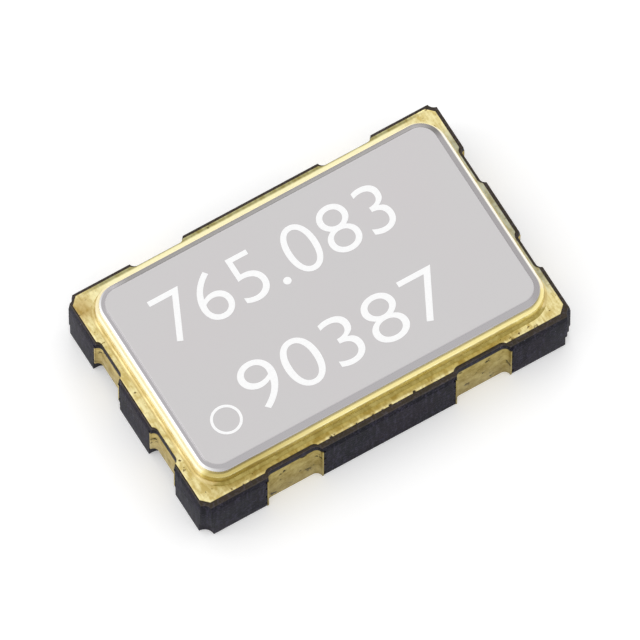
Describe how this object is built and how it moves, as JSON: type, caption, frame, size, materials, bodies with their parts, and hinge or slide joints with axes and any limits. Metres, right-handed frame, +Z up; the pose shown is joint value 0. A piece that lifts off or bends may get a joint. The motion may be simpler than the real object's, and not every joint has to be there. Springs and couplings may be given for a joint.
{
  "type": "crystal oscillator",
  "caption": "Surface-mount quartz crystal oscillator: slotted dark ceramic tub with gold terminals, brazed ring and seam-welded metal lid.",
  "frame": {"origin": "middle of the seating plane, under the centre of the package", "axes": "+X along the package with the held end of the crystal at -X, +Y across it, +Z up from the seating plane; the first land is at -X -Y"},
  "size_m": [0.005, 0.0032, 0.001],
  "materials": {
    "dark_alumina": "matt, as fired",
    "gold_plate": "satin gold plating over nickel",
    "lid_metal": "satin nickel",
    "terminal_gold": "satin gold plating",
    "quartz": "lapped",
    "silver_film": "vapour deposited",
    "silver_adhesive": "cured, silver filled",
    "printed_gold": "printed and plated",
    "tungsten_print": "printed and fired",
    "silicon": "polished, with a printed circuit",
    "contact_aluminium": "deposited",
    "gold_wire": "drawn gold"
  },
  "bodies": {
    "root": {"ceramic_base": "dark_alumina", "seal_frame": "gold_plate", "braze": "gold_plate", "seal_ring": "gold_plate", "lid": "lid_metal", "enable_terminal": "terminal_gold", "ground_terminal": "terminal_gold", "output_terminal": "terminal_gold", "supply_terminal": "terminal_gold", "crystal_test_1": "terminal_gold", "crystal_test_2": "terminal_gold", "tuning_contact_1": "terminal_gold", "tuning_contact_2": "terminal_gold", "quartz_blank": "quartz", "upper_electrode": "silver_film", "lower_electrode": "silver_film", "adhesive_dot_1": "silver_adhesive", "adhesive_dot_2": "silver_adhesive", "crystal_pad_1": "printed_gold", "crystal_pad_2": "printed_gold", "crystal_rest": "tungsten_print", "chip": "silicon", "chip_contacts": "contact_aluminium", "chip_adhesive": "silver_adhesive", "chip_land": "printed_gold", "bond_wires": "gold_wire", "enable_track": "printed_gold", "ground_track": "printed_gold", "output_track": "printed_gold", "supply_track": "printed_gold", "crystal_track_1": "printed_gold", "crystal_track_2": "printed_gold", "tuning_track_1": "printed_gold", "tuning_track_2": "printed_gold", "crystal_via_1": "tungsten_print", "crystal_via_2": "tungsten_print", "ground_via": "tungsten_print"}
  },
  "joints": []
}
